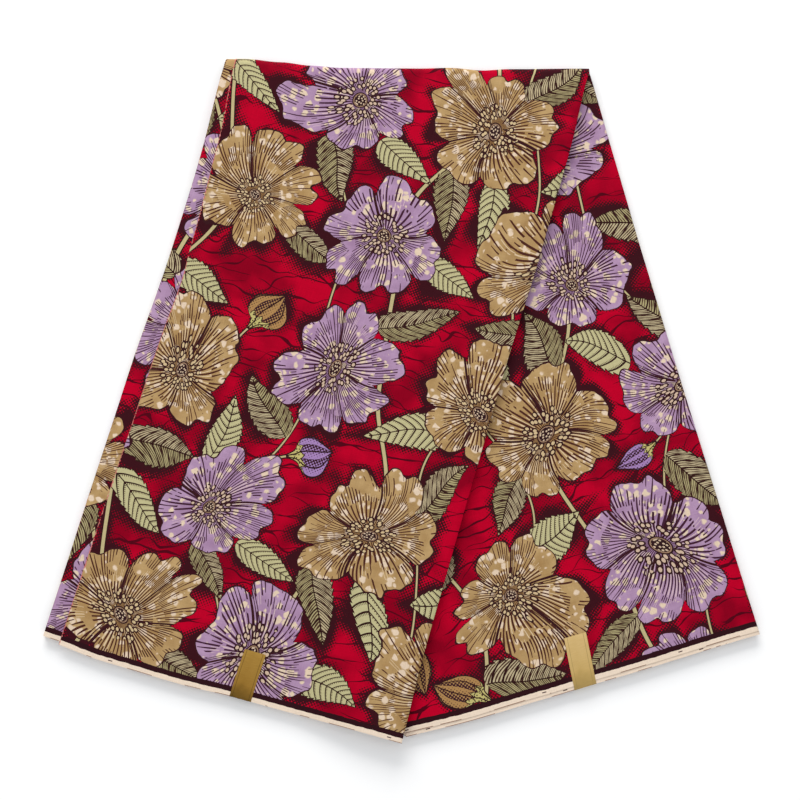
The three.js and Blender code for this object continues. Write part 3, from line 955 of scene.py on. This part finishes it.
relief = ink.scaled(ink.grain(on_cloth, 38, 3.0, 0.45), PUCKER, relief)
ink.feed(ink.shader.inputs["Base Color"], tinted)
ink.emboss(relief, 1.0)
ink.shader.inputs["Roughness"].default_value = WAX_ROUGHNESS
ink.shader.inputs["Specular IOR Level"].default_value = WAX_GLOSS
cloth_mesh.materials.append(printed_cotton)

# ---------------------------------------------------------------------------------------------------
# The foil stickers. Two strips of satin gold foil stuck over the selvedge edges, one on each leg, which
# hold the panels together until the cloth is sold.
# ---------------------------------------------------------------------------------------------------
FOIL_THICKNESS = 0.06
FOIL_CLEARANCE = 0.22
FOIL_FOOT = 0.7
FOIL_TURNED_DOWN = 8.0
# A hairline runs between two distances in from each side of the foil.
FOIL_SIDE = 9.6
HAIRLINE = (1.7, 2.2)
HAIRLINE_DEPTH = 0.05
FOIL_DENT = 0.5
FOIL_METALLIC = 0.75
FOIL_CELLS_ACROSS = 10
FOIL_CELLS_ALONG = 26
FOIL_CELLS_TURN = 8
STICKERS = [
    {"node": "label_front", "leg": "front", "width": 20.0, "length": 44.5, "centre": 21.3, "lean": -2.3},
    {"node": "label_back", "leg": "back", "width": 21.0, "length": 47.0, "centre": 5.6, "lean": -4.1},
]


def sticker_place(sticker, aside, inset, turn, foot):
    """A point of a sticker: aside across it, inset from the edge on the face, or turned over the edge."""
    lean = sticker["lean"] * (1 - inset / sticker["length"])
    u = sticker["centre"] + lean + aside
    if sticker["leg"] == "front":
        edge = -reading(END_BOW, "u", "front", u)
        inwards, face, outwards = 1, STRIP_THICKNESS, 1
    else:
        furthest_out = max(edges["back"] for edges in PANEL_EDGES)
        edge = CLOTH_WIDTH + furthest_out + reading(END_BOW, "u", "back", u)
        inwards, face, outwards = -1, 0.0, -1
    v = edge + inwards * (inset - FOIL_CLEARANCE * sin(turn))
    point = folded_place(u, v, face + outwards * FOIL_CLEARANCE * cos(turn))
    if foot:
        point.z = FOIL_FOOT * MM
    return point


def foil_finish(name, light, deep, foot):
    """Satin foil, brushed across, deeper in tone to its foot, with a pressed hairline by each side that
    is darkened with painted shade.
    """
    finish = bpy.data.materials.new(name)
    foil_ink = Wiring(finish)
    in_mm = foil_ink.in_mm("across_and_down")
    side, down = foil_ink.split(in_mm)[0:2]
    brushed = foil_ink.grain(foil_ink.vectors("MULTIPLY", in_mm, (0.08, 1.0, 0)), 0.7, 2.0)
    cloudy = foil_ink.grain(in_mm, 11.0, 2.0)
    tone = foil_ink.over(light, deep, foil_ink.ramp(foil_ink.scaled(cloudy, 16.0, down), 8.0, 44.0))
    tone = foil_ink.over(tone, foot, foil_ink.ramp(foil_ink.scaled(cloudy, 8.0, down), 31.0, 45.0))
    tone = foil_ink.over(tone, deep, foil_ink.scaled(brushed, 0.55))
    from_side = foil_ink.minus(FOIL_SIDE, foil_ink.size(side))
    hairline = foil_ink.between(HAIRLINE[0], from_side, HAIRLINE[1])
    # Painted shade: the pressed hairline is darkened with the foot's colour, as shade in the groove.
    tone = foil_ink.over(tone, foot, foil_ink.scaled(hairline, 0.6))
    relief = foil_ink.scaled(cloudy, FOIL_DENT, foil_ink.scaled(brushed, 0.02))
    relief = foil_ink.scaled(hairline, -HAIRLINE_DEPTH, relief)
    foil_ink.feed(foil_ink.shader.inputs["Base Color"], tone)
    foil_ink.feed(foil_ink.shader.inputs["Roughness"], foil_ink.scaled(brushed, 0.22, 0.3))
    foil_ink.emboss(relief, 0.9)
    foil_ink.shader.inputs["Metallic"].default_value = FOIL_METALLIC
    return finish


FOIL_FINISHES = {
    "front": foil_finish("gold foil", dye(184, 143, 66), dye(148, 108, 36), dye(66, 50, 12)),
    "back": foil_finish("pale gold foil", dye(230, 196, 136), dye(200, 166, 98), dye(160, 134, 80)),
}

for sticker in STICKERS:
    foil = bmesh.new()
    foil_rows = FOIL_CELLS_ALONG + FOIL_CELLS_TURN + 1
    bmesh.ops.create_grid(foil, x_segments=FOIL_CELLS_ACROSS, y_segments=foil_rows, size=1.0)
    foil_uv = foil.loops.layers.uv.new("across_and_down")
    for face in foil.faces:
        for loop in face.loops:
            down = (1 - loop.vert.co.y) / 2 * (sticker["length"] + FOIL_TURNED_DOWN)
            loop[foil_uv].uv = (loop.vert.co.x * sticker["width"] / 2 * MM, down * MM)
    for vert in foil.verts:
        across = vert.co.x
        row = round((1 - vert.co.y) / 2 * foil_rows)
        on_face = min(row / FOIL_CELLS_ALONG, 1.0)
        turn = min(max(row - FOIL_CELLS_ALONG, 0) / FOIL_CELLS_TURN, 1.0) * pi / 2
        vert.co = sticker_place(
            sticker,
            across * sticker["width"] / 2,
            sticker["length"] * (1 - on_face),
            turn,
            row == foil_rows,
        )
    for face in foil.faces:
        face.smooth = True
    for edge in foil.edges:
        edge.smooth = not edge.is_boundary
    bmesh.ops.recalc_face_normals(foil, faces=foil.faces)
    name = sticker["node"].replace("label", "foil_sticker")
    foil_mesh = bpy.data.meshes.new(name)
    foil.to_mesh(foil_mesh)
    foil.free()
    foil_mesh.materials.append(FOIL_FINISHES[sticker["leg"]])
    piece = bpy.data.objects.new(name, foil_mesh)
    bpy.context.collection.objects.link(piece)
    wall = piece.modifiers.new("foil thickness", "SOLIDIFY")
    wall.thickness = FOIL_THICKNESS * MM
    wall.offset = 0.0
    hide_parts(sticker["node"])
    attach(piece, "root")

# ---------------------------------------------------------------------------------------------------
# The table that the cloth lies on, the soft light over it and the camera.
# ---------------------------------------------------------------------------------------------------
table_top = bmesh.new()
bmesh.ops.create_grid(table_top, x_segments=1, y_segments=1, size=6.0)
table_mesh = bpy.data.meshes.new("table")
table_top.to_mesh(table_mesh)
table_top.free()
table = bpy.data.objects.new("table", table_mesh)
bpy.context.collection.objects.link(table)
white_table = bpy.data.materials.new("white table")
white_table.use_nodes = True
table_shader = white_table.node_tree.nodes["Principled BSDF"]
table_shader.inputs["Base Color"].default_value = (0.962, 0.958, 0.962, 1)
table_shader.inputs["Roughness"].default_value = 0.9
table_shader.inputs["Specular IOR Level"].default_value = 0.1
table_mesh.materials.append(white_table)

scene = bpy.context.scene
scene.view_settings.view_transform = "Standard"
scene.view_settings.look = "None"
world = bpy.data.worlds.new("studio")
scene.world = world
world.use_nodes = True
world.node_tree.nodes["Background"].inputs["Color"].default_value = (0.965, 0.985, 1.0, 1)
world.node_tree.nodes["Background"].inputs["Strength"].default_value = 0.79

soft_box = bpy.data.lights.new("soft box", "AREA")
soft_box.shape = "RECTANGLE"
soft_box.size = 4.4
soft_box.size_y = 2.2
soft_box.energy = 285.0
soft_box.color = (1.0, 0.985, 0.96)
lamp = bpy.data.objects.new("soft box", soft_box)
lamp.location = (-0.7, 5.0, 2.3)
lamp.rotation_euler = (-lamp.location).to_track_quat("-Z", "Y").to_euler()
bpy.context.collection.objects.link(lamp)

lens = bpy.data.cameras.new("camera")
lens.lens = 71.45
lens.sensor_width = 36.0
camera = bpy.data.objects.new("camera", lens)
camera.location = (-0.0009, -0.2620, 1.4785)
camera.rotation_euler = (radians(9.705), 0.0, radians(0.39))
bpy.context.collection.objects.link(camera)
scene.camera = camera
